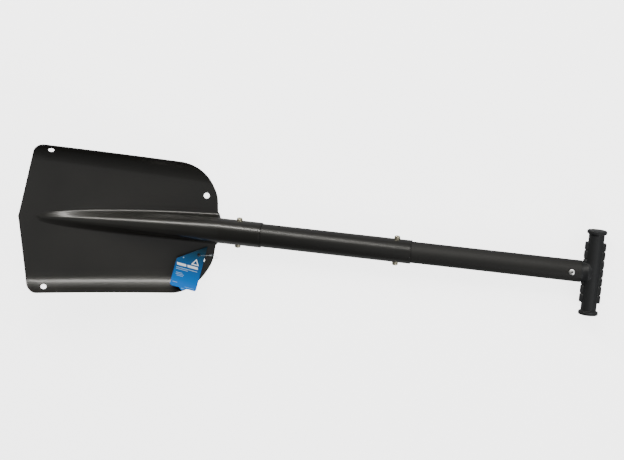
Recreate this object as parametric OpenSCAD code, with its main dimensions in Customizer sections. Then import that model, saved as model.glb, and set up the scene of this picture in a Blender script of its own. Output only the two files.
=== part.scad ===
// Take-down scoop shovel for camp and car: a pressed blade with a rolled socket, two
// telescoping tubes held by spring buttons, a moulded T-handle, and a card tag on a loop.
// Millimetres. The shaft's axis runs along X with the handle at +X, and the scoop opens to +Z.
// On the blade, u runs forward from its heel, y across it, and w square to its floor.

/* [Blade] */
// Length of the blade from its heel to the point of its front edge
blade_l = 272; // [240:1:330]
// Width across the front corners
blade_w = 204; // [180:1:240]
// Width that the side edges would have at the heel, if the shoulders were square
heel_w = 176; // [150:1:180]
// Distance from the corners forward to the point of the front edge
point_l = 18; // [4:1:30]
// Radius of the front corners
corner_r = 12; // [6:1:20]
// Radius of the rear shoulders
shoulder_r = 52; // [35:1:55]
// Angle at which the rear edges sweep forward
rear_sweep = 5; // [0:1:10]
// Thickness of the sheet
sheet_t = 1.1; // [0.8:0.1:1.6]
// Angle between the blade's floor and the shaft
lift = 17; // [8:1:22]
// Depth of the floor under the shaft's axis at the heel
heel_drop = 14; // [10:0.5:15]
// Depth to which the floor is dished along its length
dish = 7; // [0:0.5:12]

/* [Side walls] */
// Radius of the curl at the heel
curl_r_heel = 40; // [24:1:42]
// Radius of the curl at the front
curl_r_front = 36; // [16:1:38]
// Angle at which the walls stand at their edges
wall_angle = 50; // [40:1:60]
// Width in plan of the flat strip along each edge
wall_strip = 3; // [2:0.5:8]
// Slope that the floor has gained where the curl begins
floor_slope = 4; // [1:0.5:6]

/* [Rib] */
// Length of the rib from the heel to its tip
rib_l = 250; // [190:1:252]
// Crest radius at the rib's tip
rib_tip_r = 4; // [2:0.5:8]
// Steepest slope of the rib's flanks, at the heel
rib_angle = 88; // [80:1:89]
// Fillet between the rib and the floor
rib_fillet = 6; // [4:0.5:9]

/* [Socket] */
// Length of the socket from the heel to its mouth
socket_l = 66; // [56:1:90]
// Length over which the sheet wraps under to close the socket
wrap_l = 24; // [16:1:36]
// Length over which the flare at the heel dies out
flare_l = 7; // [5:1:12]
// Half angle of the tube at which the seam underneath begins
seam_angle = 176; // [170:0.5:178]
// Gap around the middle tube in the socket
socket_gap = 0.2; // [0.2:0.05:0.4]

/* [Blade holes] */
// Diameter of the four holes
hole_d = 8; // [5:0.5:10]
// Distance of the front holes behind the front corners
front_hole_u = 22; // [18:1:40]
// Distance in plan of the front holes from the side edges
front_hole_y = 7; // [6:0.5:14]
// Distance of the shoulder holes ahead of the heel
rear_hole_u = 17.5; // [14:0.5:30]
// Distance of the shoulder holes from the centre line
rear_hole_y = 45; // [38:1:55]

/* [Tubes] */
// Outside diameter of the middle tube
middle_d = 32; // [28:0.5:36]
// Wall of the middle tube
middle_wall = 1.2; // [1:0.1:2]
// Length of the middle tube outside the socket
middle_out = 207; // [180:1:260]
// Gap around the upper tube in the middle tube
slide_gap = 0.2; // [0.15:0.05:0.4]
// Wall of the upper tube
upper_wall = 1.2; // [1:0.1:2]
// Length of the upper tube outside the middle tube when extended
upper_out = 227.5; // [200:1:280]
// Length of the upper tube that stays inside the middle tube when extended
upper_lap = 41; // [36:1:60]
// Distance of the collapsed position's holes from the socket's mouth
stow_hole_x = 24.5; // [20:0.5:40]

/* [Spring buttons] */
// Diameter of the buttons
button_d = 8; // [6:0.5:9]
// Gap around the buttons in their holes
button_gap = 0.2; // [0.15:0.05:0.5]
// Height of the lower buttons above the socket
lower_proud = 3.9; // [2.5:0.1:5]
// Height of the upper buttons above the middle tube
upper_proud = 4.6; // [2.5:0.1:5]
// Distance of the lower buttons from the socket's mouth
lower_button_x = 32; // [24:1:34]
// Distance of the upper buttons from the middle tube's end
upper_button_x = 20.5; // [16:0.5:26]
// Thickness of the leaf springs
leaf_t = 0.7; // [0.5:0.1:1]
// Width of the leaf springs
leaf_w = 8; // [6:0.5:9]
// Diameter of the stems that hold the buttons on the leaves
stem_d = 4; // [3:0.5:5]

/* [T-handle] */
// Length of the grip bar
bar_l = 114; // [95:1:130]
// Diameter of the bar's core
bar_d = 21; // [18:0.5:24]
// Diameter of the end flanges
flange_d = 26.4; // [24:0.2:30]
// Thickness of the end flanges
flange_t = 5; // [3:0.5:7]
// Length of the wavy fins along the bar
fin_l = 82; // [64:1:84]
// Width across the fins
fin_w = 28; // [25:0.5:32]
// Thickness of the fins
fin_t = 11; // [7:0.5:15]
// Number of waves along each fin
fin_waves = 7; // [5:1:9]
// Depth of the waves
fin_wave_h = 1.6; // [0.8:0.1:2.4]
// Distance of the bar's axis from the upper tube's end
neck_l = 14.8; // [14:0.2:24]
// Diameter of the neck between the tube and the bar
neck_d = 26; // [22:0.5:27]
// Length of the spigot inside the upper tube
spigot_l = 32; // [24:1:45]
// Gap around the spigot in the upper tube
spigot_gap = 0.05; // [0.05:0.05:0.2]

/* [Rivets] */
// Distance of the rivets from the upper tube's end
rivet_x = 12.3; // [9:0.1:18]
// Diameter of the rivets' bodies
rivet_d = 4; // [3:0.2:5]
// Diameter of the rivets' heads
rivet_head_d = 7.8; // [6:0.2:10]
// Height of the rivets' heads
rivet_head_h = 1.5; // [1:0.1:2]
// Length of the rivets' bodies
rivet_l = 8; // [6:0.5:10]
// Diameter of the mandrels left in the rivets
mandrel_d = 2; // [1.6:0.1:2.4]

/* [Tag] */
// Length of the tag
tag_l = 65; // [50:1:75]
// Width of the tag
tag_w = 37.5; // [30:0.5:40]
// Thickness of the card
tag_t = 0.5; // [0.4:0.1:0.8]
// Length by which the tag's long side passes its short side
tag_slant = 27; // [18:1:32]
// Angle at which the tag leans up on to the side wall
tag_tilt = 13; // [12.5:0.5:16]
// Diameter of the hole in the tag
tag_hole_d = 4.5; // [3:0.5:6]
// Diameter of the nylon loop
loop_d = 0.9; // [0.7:0.1:1]
// Diameter of the loop's lock
lock_d = 2.2; // [1.8:0.1:3]

/* [Hidden] */
$fn = 64;
eps = 0.01;

// The middle tube seats in the closed part of the socket
middle_seat = socket_l - wrap_l;

// Radii of the nested tubes, from the middle tube outwards and inwards
middle_r = middle_d / 2;
middle_bore_r = middle_r - middle_wall;
upper_r = middle_bore_r - slide_gap;
upper_bore_r = upper_r - upper_wall;
socket_bore_r = middle_r + socket_gap;
socket_r = socket_bore_r + sheet_t;
socket_mid_r = socket_bore_r + sheet_t / 2;

// Stations along the shaft, from the socket's mouth at x = 0
upper_end_x = middle_out + upper_out;
bar_x = upper_end_x + neck_l;
upper_hole_x = middle_out - upper_button_x;
button_hole_d = button_d + 2 * button_gap;
lower_tip = socket_r + lower_proud;
upper_tip = middle_r + upper_proud;

// Columns of the sheet from its centre line to one edge, and rows along it
top_n = 8;
flank_n = 3;
fillet_n = 5;
rib_n = top_n + flank_n + fillet_n;
floor_n = 4;
wall_n = 8;
cols = rib_n + floor_n + wall_n;
rows = 16;
socket_s = [2, 4, 7, 11, 16, 24, 40, socket_l];
socket_rows = len(socket_s);
rib_cut = 0.985;
rib_power = 0.6;

// The blade's outline
corner_u = blade_l - point_l;
widest_u = corner_u - corner_r;
rib_h = (socket_mid_r + heel_drop) / cos(lift);
neck_y = rib_section(rib_n, 0)[0];
shoulder_u = shoulder_r + (heel_w / 2 - neck_y) * tan(rear_sweep);
shoulder_y = half_w(shoulder_u);

// Origin under the middle of the object, on the surface that it lies on
tip_x = -socket_l - blade_l * cos(lift) - sheet_t / 2 * sin(lift);
handle_x = bar_x + max(flange_d, fin_w) / 2;
origin_x = -(tip_x + handle_x) / 2;

// The tag's place on the blade: its long corner and its heading
tag_corner = [11, -25.8, 1.2];
tag_heading = -102;
tag_hole_at = [14.6, -9];
tag_chamfer = [1.5, 4];
tag_tab_r = 5;
tag_round = 2.5;

// Route of the loop on the blade as [u, y, w], from one end of its lock to the other:
// down through the tag, down through the shoulder hole, and back around the rear edge
loop_route = [
    [9, -38, 3], [10.6, -38, 3.6], [12.2, -38, 5], [14, -38, 6.1], [16.6, -38, 6.7],
    [19.4, -38, 6.7], [21.8, -38, 5.8], [22.8, -38.2, 4.2], [22.4, -39.6, 2.4],
    [21, -42, 1.4], [19, -44.2, 0.8],
    [17.6, -45, -0.5], [16.2, -45, -2.2], [13.5, -44.8, -3.4], [9, -44.4, -3.6],
    [3.5, -43.6, -3.2], [-1, -42.6, -2], [-3.4, -41.2, 0.2], [-2.2, -39.6, 2.1],
    [-0.2, -38.4, 2.9], [2, -38, 3], [4, -38, 3]
];
loop_steps = 3;
loop_sides = 8;
lock_u = [4, 9];

function blend(a, b, t) = a + (b - a) * t;
function limit(x, low, high) = max(low, min(high, x));
function ease(t) = let (s = limit(t, 0, 1)) s * s * (3 - 2 * s);
function unit(v) = v / norm(v);

// A point of the blade in the shaft's frame
function shaft_pt(u, y, w) = [
    -socket_l - u * cos(lift) + w * sin(lift), y, -heel_drop + u * sin(lift) + w * cos(lift)
];

// Half width between the side edges, and the curl that leads up to them
function half_w(u) = blend(heel_w, blade_w, limit(u / widest_u, 0, 1)) / 2;
function curl_r(u) = blend(curl_r_heel, curl_r_front, limit(u / corner_u, 0, 1));
function curl_w(u) = curl_r(u) * (sin(wall_angle) - sin(floor_slope));
function fold_y(u) = half_w(u) - curl_w(u) - wall_strip;
function curl_h(r, x) = r * cos(floor_slope) - sqrt(r * r - pow(x + r * sin(floor_slope), 2));

// Height of the dished sheet above its floor plane, without the rib, and its slopes
function dish_h(u) = -4 * dish * u / blade_l * (1 - u / blade_l);
function dish_slope(u) = atan(4 * dish / blade_l * (2 * u / blade_l - 1));
function floor_h(u, y) = dish_h(u) + tan(floor_slope) * y * y / (2 * fold_y(u));
function sheet_h(u, y) =
    let (fold = fold_y(u), x = y - fold, w = curl_w(u), r = curl_r(u))
    x <= 0 ? floor_h(u, y)
    : x <= w ? floor_h(u, fold) + curl_h(r, x)
    : floor_h(u, fold) + curl_h(r, w) + (x - w) * tan(wall_angle);
function sheet_slope(u, y) =
    let (fold = fold_y(u), x = y - fold, r = curl_r(u))
    x <= 0 ? atan(tan(floor_slope) * y / fold)
    : x <= curl_w(u) ? asin(x / r + sin(floor_slope))
    : wall_angle;

// Point k of the rib's half section at u, as [y, w]: crest arc, straight flank, fillet
function rib_section(k, u) =
    let (t = limit(u / rib_l, 0, rib_cut), fade = u < rib_cut * rib_l ? 1 : 0)
    let (h = rib_h * (1 - t), angle = rib_angle * pow(1 - t, rib_power))
    let (crest = blend(socket_mid_r, rib_tip_r, t), rise = (crest + rib_fillet) * (1 - cos(angle)))
    let (fit = min(1, h / rise), r = crest * fit, f = rib_fillet * fit)
    let (fall = max(0, h - rise), run = fall / tan(angle))
    let (at = k <= top_n ? 0 : k <= top_n + flank_n ? (k - top_n) / flank_n : 1)
    let (a = at == 0 ? angle * k / top_n : angle * (rib_n - k) / fillet_n)
    k <= top_n ? [r * sin(a), fade * (h - r * (1 - cos(a)))]
    : k <= top_n + flank_n
    ? [r * sin(angle) + run * at, fade * (h - r * (1 - cos(angle)) - fall * at)]
    : [r * sin(angle) + run + f * (sin(angle) - sin(a)), fade * f * (1 - cos(a))];

// Distance of column k from the centre line at u
function column_y(k, u) =
    k <= rib_n ? rib_section(k, u)[0]
    : k <= rib_n + floor_n
    ? blend(rib_section(rib_n, u)[0], fold_y(u), (k - rib_n) / floor_n)
    : half_w(u) - (half_w(u) - fold_y(u)) * (1 - sin(90 * (k - rib_n - floor_n) / wall_n));

// Where column k starts at the rear edge and ends at the front edge
function round_off(r, x) = x <= 0 ? 0 : r - sqrt(max(0, r * r - x * x));
function rear_u(k) =
    let (y = column_y(k, shoulder_u))
    k <= rib_n ? 0
    : (y - neck_y) * tan(rear_sweep) + round_off(shoulder_r, y - shoulder_y + shoulder_r);
function front_u(k) =
    let (y = column_y(k, widest_u), half = blade_w / 2)
    blade_l - point_l * y / half - round_off(corner_r, y - half + corner_r);

// Middle of the sheet at column c and row j: the blade from row 0, the socket below it
function blade_pt(c, j) =
    let (k = abs(c), u = blend(rear_u(k), front_u(k), j / rows), y = column_y(k, u))
    shaft_pt(u, sign(c) * y, sheet_h(u, y) + (k <= rib_n ? rib_section(k, u)[1] : 0));
function socket_pt(c, s) =
    let (p = blade_pt(c, 0), r0 = norm([p.y, p.z]), a0 = atan2(p.y, p.z))
    let (r = blend(r0, socket_mid_r, ease(s / flare_l)))
    let (a = blend(a0, seam_angle * c / rib_n, ease(s / wrap_l)))
    [blend(p.x, 0, s / socket_l), r * sin(a), r * cos(a)];
function mid_pt(c, j) = j >= 0 ? blade_pt(c, j) : socket_pt(c, socket_s[-j - 1]);

// The sheet's grid, as wide as the blade from row 0 and as the rib below it
function span(j) = j >= 0 ? cols : rib_n;
function first_row(c) = abs(c) <= rib_n ? -socket_rows : 0;
mid_grid = [for (c = [-cols:cols]) [for (j = [first_row(c):rows]) mid_pt(c, j)]];
function grid(c, j) = mid_grid[c + cols][j - first_row(c)];
function sheet_normal(c, j) =
    let (w = span(j), low = first_row(c))
    let (across = grid(min(c + 1, w), j) - grid(max(c - 1, -w), j))
    let (along = grid(c, min(j + 1, rows)) - grid(c, max(j - 1, low)))
    unit(cross(across, along));
function face_pts(side) = [
    for (c = [-cols:cols], j = [first_row(c):rows])
    grid(c, j) + side * sheet_t / 2 * sheet_normal(c, j)
];

// Place of a grid point in the list of points
long = rows + 1 + socket_rows;
short = rows + 1;
wing = cols - rib_n;
function point_id(c, j) =
    c < -rib_n ? (c + cols) * short + j
    : c <= rib_n ? wing * short + (c + rib_n) * long + j + socket_rows
    : wing * short + (2 * rib_n + 1) * long + (c - rib_n - 1) * short + j;
points_n = 2 * wing * short + (2 * rib_n + 1) * long;

// Two triangles over the corners a, b, c and d, split along a to c
function quad(a, b, c, d) = [[a, b, c], [a, c, d]];
function cell(c, j) =
    let (p = point_id(c, j), q = point_id(c + 1, j), r = point_id(c + 1, j + 1), s = point_id(c, j + 1))
    c < 0 ? concat(quad(p, s, r, q), quad(p + points_n, q + points_n, r + points_n, s + points_n))
    : concat(quad(q, p, s, r), quad(q + points_n, r + points_n, s + points_n, p + points_n));
function rim(p, q) = quad(p, q, q + points_n, p + points_n);
sheet_faces = [
    for (j = [-socket_rows:rows - 1], c = [-span(j):span(j) - 1]) each cell(c, j),
    for (c = [-cols:cols - 1]) each rim(point_id(c + 1, rows), point_id(c, rows)),
    for (c = [-rib_n:rib_n - 1]) each rim(point_id(c, -socket_rows), point_id(c + 1, -socket_rows)),
    for (c = [rib_n:cols - 1]) each rim(point_id(c, 0), point_id(c + 1, 0)),
    for (c = [-cols:-rib_n - 1]) each rim(point_id(c, 0), point_id(c + 1, 0)),
    for (j = [0:rows - 1]) each rim(point_id(cols, j), point_id(cols, j + 1)),
    for (j = [0:rows - 1]) each rim(point_id(-cols, j + 1), point_id(-cols, j)),
    for (j = [-socket_rows:-1]) each rim(point_id(rib_n, j), point_id(rib_n, j + 1)),
    for (j = [-socket_rows:-1]) each rim(point_id(-rib_n, j + 1), point_id(-rib_n, j))
];

// Points of the loop between the route's own, on a smooth curve through them
function on_curve(p, q, r, s, t) =
    0.5 * (2 * q + (r - p) * t + (2 * p - 5 * q + 4 * r - s) * t * t
        + (3 * q - p - 3 * r + s) * t * t * t);
function route_pt(i) = let (p = loop_route[limit(i, 0, len(loop_route) - 1)]) shaft_pt(p[0], p[1], p[2]);
loop_path = [
    for (i = [0:len(loop_route) - 2], k = [0:loop_steps - 1])
    on_curve(route_pt(i - 1), route_pt(i), route_pt(i + 1), route_pt(i + 2), k / loop_steps),
    route_pt(len(loop_route) - 1)
];

// Moves a piece from the shaft's frame to its place above the origin
module place() {
    translate([origin_x, 0, socket_r * cos(180 - seam_angle)]) children();
}

// Moves a piece to the blade: x is minus u, z is w
module on_blade() {
    translate([-socket_l, 0, -heel_drop]) rotate([0, lift, 0]) children();
}

// A bar along the shaft from x1 to x2
module bar(x1, x2, r) {
    translate([x1, 0, 0]) rotate([0, 90, 0]) cylinder(h = x2 - x1, r = r);
}

// A bar across the shaft at x, through both walls
module cross_bar(x, d) {
    translate([x, 0, 0]) rotate([90, 0, 0]) cylinder(h = 3 * middle_d, d = d, center = true);
}

// A drill through the sheet at u and y, square to it
module sheet_drill(u, y) {
    slope = sheet_slope(u, abs(y));
    on_blade() translate([-u, y, sheet_h(u, abs(y))]) rotate([0, dish_slope(u), 0])
        rotate([sign(y) * slope, 0, 0]) cylinder(h = 8 * sheet_t, d = hole_d, center = true);
}

module blade() {
    front_u_at = corner_u - front_hole_u;
    front_y_at = half_w(front_u_at) - front_hole_y;
    color("#33322d") place() difference() {
        polyhedron(concat(face_pts(1), face_pts(-1)), sheet_faces);
        for (side = [-1, 1]) {
            sheet_drill(front_u_at, side * front_y_at);
            sheet_drill(rear_hole_u, side * rear_hole_y);
        }
        cross_bar(-lower_button_x, button_hole_d);
    }
}

module middle_tube() {
    color("#2d2c2a") place() difference() {
        bar(-middle_seat, middle_out, middle_r);
        bar(-middle_seat - 1, middle_out + 1, middle_bore_r);
        cross_bar(-lower_button_x, button_hole_d);
        cross_bar(stow_hole_x, button_hole_d);
        cross_bar(upper_hole_x, button_hole_d);
    }
}

module upper_tube() {
    color("#2d2c2a") place() difference() {
        bar(middle_out - upper_lap, upper_end_x, upper_r);
        bar(middle_out - upper_lap - 1, upper_end_x + 1, upper_bore_r);
        cross_bar(upper_hole_x, button_hole_d);
        translate([upper_end_x - rivet_x, 0, 0]) cylinder(h = 3 * upper_r, d = rivet_d, center = true);
    }
}

// Half outline of the bar's core with its rounded end flanges
module core_outline() {
    half = bar_l / 2;
    edge = flange_t / 3;
    polygon([
        [0, -half], [flange_d / 2 - edge, -half], [flange_d / 2, -half + edge],
        [flange_d / 2, -half + flange_t - edge / 2], [flange_d / 2 - edge / 2, -half + flange_t],
        [bar_d / 2, -half + flange_t], [bar_d / 2, half - flange_t],
        [flange_d / 2 - edge / 2, half - flange_t], [flange_d / 2, half - flange_t + edge / 2],
        [flange_d / 2, half - edge], [flange_d / 2 - edge, half], [0, half]
    ]);
}

// Outline of both wavy fins as one plate
module fin_outline() {
    steps = 12 * fin_waves;
    wave = [
        for (i = [0:steps])
        [fin_w / 2 - fin_wave_h * (1 - cos(360 * fin_waves * i / steps)) / 2, fin_l * (i / steps - 0.5)]
    ];
    polygon(concat(wave, [for (i = [steps:-1:0]) [-wave[i].x, wave[i].y]]));
}

module t_handle() {
    color("#2a2c2d") place() difference() {
        union() {
            translate([bar_x, 0, 0]) rotate([-90, 0, 0]) rotate_extrude() core_outline();
            translate([bar_x, 0, -fin_t / 2]) linear_extrude(fin_t) fin_outline();
            bar(upper_end_x, bar_x, neck_d / 2);
            bar(upper_end_x - spigot_l, upper_end_x + eps, upper_bore_r - spigot_gap);
        }
        translate([upper_end_x - rivet_x, 0, 0]) cylinder(h = 3 * upper_r, d = rivet_d, center = true);
    }
}

// A blind rivet in the scoop side of the upper tube, with its pulled-in mandrel's hole
module rivet() {
    x = upper_end_x - rivet_x;
    translate([x, 0, 0]) rotate_extrude() difference() {
        union() {
            translate([0, upper_r - rivet_l]) square([rivet_d / 2, rivet_l]);
            translate([0, upper_r]) square([rivet_head_d / 2, rivet_head_h / 3]);
            intersection() {
                translate([0, upper_r + rivet_head_h / 3]) square([rivet_head_d / 2, rivet_head_h]);
                translate([0, upper_r + rivet_head_h - rivet_head_d])
                    circle(r = rivet_head_d);
            }
        }
        translate([0, upper_r - rivet_l - 1]) square([mandrel_d / 2, rivet_l + rivet_head_h + 2]);
    }
}

module mandrel() {
    translate([upper_end_x - rivet_x, 0, upper_r - rivet_l - mandrel_d / 2])
        cylinder(h = rivet_l + mandrel_d / 2, d = mandrel_d);
    translate([upper_end_x - rivet_x, 0, upper_r - rivet_l - mandrel_d / 2])
        cylinder(h = mandrel_d / 2, d = rivet_d);
}

module rivet_front() {
    color("#c9c9c6") place() rivet();
}

module rivet_back() {
    color("#c9c9c6") place() mirror([0, 0, 1]) rivet();
}

module mandrel_front() {
    color("#6d6d6b") place() mandrel();
}

module mandrel_back() {
    color("#6d6d6b") place() mirror([0, 0, 1]) mandrel();
}

// Distance from the shaft's axis to a leaf's outer face, in a tube of the given bore
function leaf_y(bore_r) = sqrt(bore_r * bore_r - leaf_w * leaf_w / 4) - 0.4;

// A leaf spring bent to a U: two arms, each with a hole for its button's stem, and a bow.
// The bow lies towards -X, or towards +X where way is -1
module leaf_spring(x, bore_r, way) {
    y = leaf_y(bore_r);
    arm = 6;
    back = 5;
    translate([x, 0, 0]) scale([way, 1, 1]) difference() {
        translate([0, 0, -leaf_w / 2]) linear_extrude(leaf_w) {
            for (side = [-1, 1])
                translate([-back, side * (y - leaf_t / 2) - leaf_t / 2]) square([arm + back, leaf_t]);
            intersection() {
                translate([-back, 0]) difference() {
                    circle(r = y);
                    circle(r = y - leaf_t);
                }
                translate([-back - y, -y]) square([y, 2 * y]);
            }
        }
        cross_bar(0, stem_d + 2 * button_gap);
    }
}

// A button with its domed tip, its stem through the leaf and the stem's swaged end
module button(x, bore_r, tip) {
    y = leaf_y(bore_r) + 0.05;
    dome = button_d / 4;
    inner = y - leaf_t - 0.1;
    head = 0.8;
    translate([x, 0, 0]) rotate([-90, 0, 0]) rotate_extrude() {
        translate([0, y]) square([button_d / 2, tip - dome - y + eps]);
        translate([0, tip - dome]) intersection() {
            translate([0, dome - button_d * 0.625]) circle(r = button_d * 0.625);
            square([button_d / 2, dome]);
        }
        translate([0, inner - head]) square([stem_d / 2, y - inner + head + eps]);
        translate([0, inner - head]) square([stem_d * 0.75, head]);
    }
}

module lower_spring() {
    color("#b9b7ac") place() leaf_spring(-lower_button_x, middle_bore_r, -1);
}

module lower_button_right() {
    color("#cbc7b0") place() button(-lower_button_x, middle_bore_r, lower_tip);
}

module lower_button_left() {
    color("#cbc7b0") place() mirror([0, 1, 0]) button(-lower_button_x, middle_bore_r, lower_tip);
}

module upper_spring() {
    color("#b9b7ac") place() leaf_spring(upper_hole_x, upper_bore_r, 1);
}

module upper_button_right() {
    color("#cbc7b0") place() button(upper_hole_x, upper_bore_r, upper_tip);
}

module upper_button_left() {
    color("#cbc7b0") place() mirror([0, 1, 0]) button(upper_hole_x, upper_bore_r, upper_tip);
}

// Five-sided card with a slanted top, one cut corner and a round tab, from its long corner
module tag_outline() {
    offset(r = tag_round) offset(delta = -tag_round) union() {
        polygon([
            [0, 0], [tag_l, 0], [tag_l, tag_chamfer.y - tag_w],
            [tag_l - tag_chamfer.x, -tag_w], [tag_slant, -tag_w]
        ]);
        translate([tag_l - 2, -tag_w / 2]) circle(r = tag_tab_r, $fn = 32);
    }
}

module hang_tag() {
    color("#1e78bc") place() on_blade()
        translate([-tag_corner.x, tag_corner.y, tag_corner.z]) rotate([0, -tag_tilt, tag_heading])
        difference() {
            linear_extrude(tag_t) tag_outline();
            translate([tag_hole_at.x, tag_hole_at.y, -1]) cylinder(h = 3, d = tag_hole_d);
        }
}

// A round cord swept along a path, with rings square to it and flat ends
module cord(path, d, sides) {
    n = len(path);
    function way(i) = unit(path[min(i + 1, n - 1)] - path[max(i - 1, 0)]);
    function carry(i, v, out) =
        i >= n ? out
        : let (next = unit(v - (v * way(i)) * way(i))) carry(i + 1, next, concat(out, [next]));
    frames = carry(0, [0, 1, 0], []);
    ring_pts = [
        for (i = [0:n - 1], k = [0:sides - 1])
        path[i] + d / 2 * (cos(360 * k / sides) * frames[i]
            + sin(360 * k / sides) * cross(way(i), frames[i]))
    ];
    walls = [
        for (i = [0:n - 2], k = [0:sides - 1])
        let (a = i * sides + k, b = i * sides + (k + 1) % sides)
        each [[a, a + sides, b + sides], [a, b + sides, b]]
    ];
    ends = [[for (k = [0:sides - 1]) k], [for (k = [sides - 1:-1:0]) (n - 1) * sides + k]];
    polyhedron(ring_pts, concat(walls, ends));
}

module tag_loop() {
    color("#dfe6ea") place() cord(loop_path, loop_d, loop_sides);
}

// The moulded lock that both ends of the loop run into
module tag_lock() {
    at = loop_route[0];
    color("#e4eaee") place() on_blade() translate([-lock_u[1], at[1], at[2]]) rotate([0, 90, 0])
        cylinder(h = lock_u[1] - lock_u[0], d = lock_d, $fn = 32);
}

blade();
middle_tube();
upper_tube();
t_handle();
rivet_front();
rivet_back();
mandrel_front();
mandrel_back();
lower_spring();
lower_button_right();
lower_button_left();
upper_spring();
upper_button_right();
upper_button_left();
hang_tag();
tag_loop();
tag_lock();
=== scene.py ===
import math

import bmesh
import bpy
from mathutils import Matrix, Vector


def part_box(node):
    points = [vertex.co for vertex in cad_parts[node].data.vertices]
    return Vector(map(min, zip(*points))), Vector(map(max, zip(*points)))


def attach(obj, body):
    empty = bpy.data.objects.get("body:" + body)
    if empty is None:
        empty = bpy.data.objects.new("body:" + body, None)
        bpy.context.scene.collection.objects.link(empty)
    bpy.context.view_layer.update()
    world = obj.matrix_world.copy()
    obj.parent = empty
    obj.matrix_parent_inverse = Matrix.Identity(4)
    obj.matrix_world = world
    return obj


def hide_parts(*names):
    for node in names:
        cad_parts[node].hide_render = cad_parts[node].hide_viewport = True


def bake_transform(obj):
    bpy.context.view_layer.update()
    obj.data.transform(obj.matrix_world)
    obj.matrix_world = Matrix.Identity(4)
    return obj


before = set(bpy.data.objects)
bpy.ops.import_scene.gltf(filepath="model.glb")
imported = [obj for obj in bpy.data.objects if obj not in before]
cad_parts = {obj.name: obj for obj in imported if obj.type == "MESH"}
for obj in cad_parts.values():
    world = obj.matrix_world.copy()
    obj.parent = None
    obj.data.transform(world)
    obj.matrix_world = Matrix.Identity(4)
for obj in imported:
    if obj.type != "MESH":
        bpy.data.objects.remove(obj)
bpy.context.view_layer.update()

# Sizes in millimetres, as the CAD part has them. The shaft's axis runs along X with the
# handle at +X, the socket's mouth is at x = 0, and the scoop opens to +Z.
MM = 0.001

# Blade
BLADE_L = 272
BLADE_W = 204
HEEL_W = 176
POINT_L = 18  # how far the front edge stands out at its middle
CORNER_R = 12
SHOULDER_R = 52
REAR_SWEEP = math.radians(5)  # slant of the rear edges
SHEET_T = 1.1
LIFT = math.radians(17)  # between the floor and the shaft
HEEL_DROP = 14  # from the shaft's axis down to the floor's rear end
DISH = 7  # depth of the floor's hollow along its length
CURL_R_HEEL = 40  # radius of the side walls' bend, at the rear
CURL_R_FRONT = 36
WALL_ANGLE = math.radians(50)
WALL_STRIP = 3  # flat strip outside the bend
FLOOR_SLOPE = math.radians(4)
RIB_L = 250
RIB_TIP_R = 4  # radius of the crest at the rib's nose
RIB_ANGLE = math.radians(88)  # slope of the rib's flanks at the heel
RIB_FILLET = 6
RIB_CUT = 0.985  # share of the rib's length at which it ends
RIB_POWER = 0.6  # how fast the flanks flatten towards the nose
HOLE_D = 8
FRONT_HOLE_U = 22  # behind the front corner
FRONT_HOLE_Y = 7  # in from the edge
REAR_HOLE_U = 17.5  # ahead of the heel
REAR_HOLE_Y = 45  # out from the middle

# Socket
SOCKET_L = 66
WRAP_L = 24  # over which the rib's sheet rolls round into the socket
FLARE_L = 7  # over which its radius becomes the socket's
SEAM_ANGLE = math.radians(176)  # from the top to each rolled edge

# Tubes and spring buttons
MIDDLE_R = 16
MIDDLE_BORE_R = 14.8
MIDDLE_OUT = 207  # length that shows
MIDDLE_SEAT = SOCKET_L - WRAP_L
UPPER_R = 14.6
UPPER_BORE_R = 13.4
UPPER_OUT = 227.5  # length that shows
UPPER_LAP = 41  # length inside the middle tube
STOW_HOLE_X = 24.5
BUTTON_D = 8
BUTTON_GAP = 0.2
LOWER_BUTTON_X = 32  # behind the socket's mouth
UPPER_BUTTON_X = 20.5  # behind the middle tube's end
LEAF_T = 0.7
LEAF_W = 8
LEAF_PLAY = 0.4  # between a leaf's edges and the bore
STEM_D = 4
THROUGH = 60  # a drill this long goes right through a tube

# T-handle and its rivets
BAR_L = 114
BAR_D = 21
FLANGE_D = 26.4
FLANGE_T = 5
FIN_L = 82
FIN_W = 28
FIN_T = 11
FIN_WAVES = 7
FIN_WAVE_H = 1.6
NECK_L = 14.8
NECK_D = 26
SPIGOT_L = 32
RIVET_X = 12.3
RIVET_D = 4
RIVET_HEAD_D = 7.8
RIVET_HEAD_H = 1.5
RIVET_L = 8
MANDREL_D = 2

# Tag
TAG_L = 65
TAG_W = 37.5
TAG_T = 0.5
TAG_SLANT = 27  # how far along the card its short side starts
TAG_TILT = math.radians(13)
TAG_HEADING = math.radians(-102)
TAG_CORNER = (11, -25.8, 1.2)
TAG_HOLE_AT = (14.6, -9)
TAG_HOLE_D = 4.5
TAG_CHAMFER = (1.5, 4)  # along the card, across it
TAG_TAB_R = 5
TAG_ROUND = 2.5
LOOP_D = 0.9
LOCK_D = 2.2
LOCK_U = (4, 9)

# Route of the tag's loop on the blade as (u, y, w): u forward from the heel, w off the floor
LOOP_ROUTE = [
    (9, -38, 3), (10.6, -38, 3.6), (12.2, -38, 5), (14, -38, 6.1), (16.6, -38, 6.7),
    (19.4, -38, 6.7), (21.8, -38, 5.8), (22.8, -38.2, 4.2), (22.4, -39.6, 2.4),
    (21, -42, 1.4), (19, -44.2, 0.8),
    (17.6, -45, -0.5), (16.2, -45, -2.2), (13.5, -44.8, -3.4), (9, -44.4, -3.6),
    (3.5, -43.6, -3.2), (-1, -42.6, -2), (-3.4, -41.2, 0.2), (-2.2, -39.6, 2.1),
    (-0.2, -38.4, 2.9), (2, -38, 3), (4, -38, 3),
]

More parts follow.
